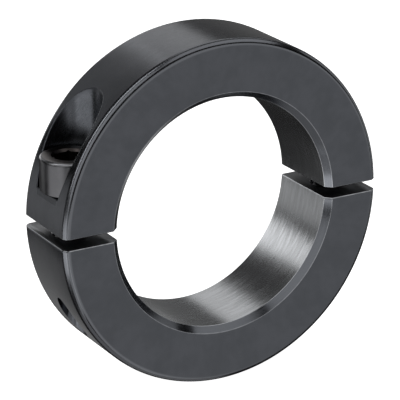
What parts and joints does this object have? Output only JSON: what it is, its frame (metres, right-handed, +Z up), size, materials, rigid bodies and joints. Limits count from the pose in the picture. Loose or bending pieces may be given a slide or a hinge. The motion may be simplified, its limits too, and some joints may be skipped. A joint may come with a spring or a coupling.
{
  "type": "two-piece clamp shaft collar",
  "caption": "Split ring that clamps on a round shaft: two half rings drawn together by two socket head cap screws in counterbored holes.",
  "frame": {"origin": "centre of the bore, half way through the width", "axes": "+Y along the bore axis from the front face to the back face, +Z up, square to the split between the halves and out of the counterbores, +X to the right seen from the front"},
  "size_m": [0.06, 0.015, 0.06],
  "materials": {
    "collar_black_oxide": "fine turned steel with a satin black oxide coat",
    "screw_black_oxide": "smooth cold-headed steel with a darker black oxide coat"
  },
  "bodies": {
    "lower_half": {"lower_half": "collar_black_oxide"},
    "upper_half": {"upper_half": "collar_black_oxide"},
    "left_screw": {"left_screw": "screw_black_oxide"},
    "right_screw": {"right_screw": "screw_black_oxide"}
  },
  "joints": [
    {"name": "upper_half_slide", "type": "slide", "parent": "lower_half", "child": "upper_half", "axis": [0, 0, 1], "range_m": [-0.0017, 0.0085]},
    {"name": "left_screw_turn", "type": "hinge", "parent": "upper_half", "child": "left_screw", "pos_m": [-0.025, 0, 0.0066], "axis": [0, 0, 1], "range_deg": [-612, 3060]},
    {"name": "right_screw_turn", "type": "hinge", "parent": "upper_half", "child": "right_screw", "pos_m": [0.025, 0, 0.0066], "axis": [0, 0, 1], "range_deg": [-612, 3060]}
  ],
  "couplings": [
    {"joint": "left_screw_turn", "follows": "upper_half_slide", "rad_per_m": 6283.2},
    {"joint": "right_screw_turn", "follows": "upper_half_slide", "rad_per_m": 6283.2}
  ]
}
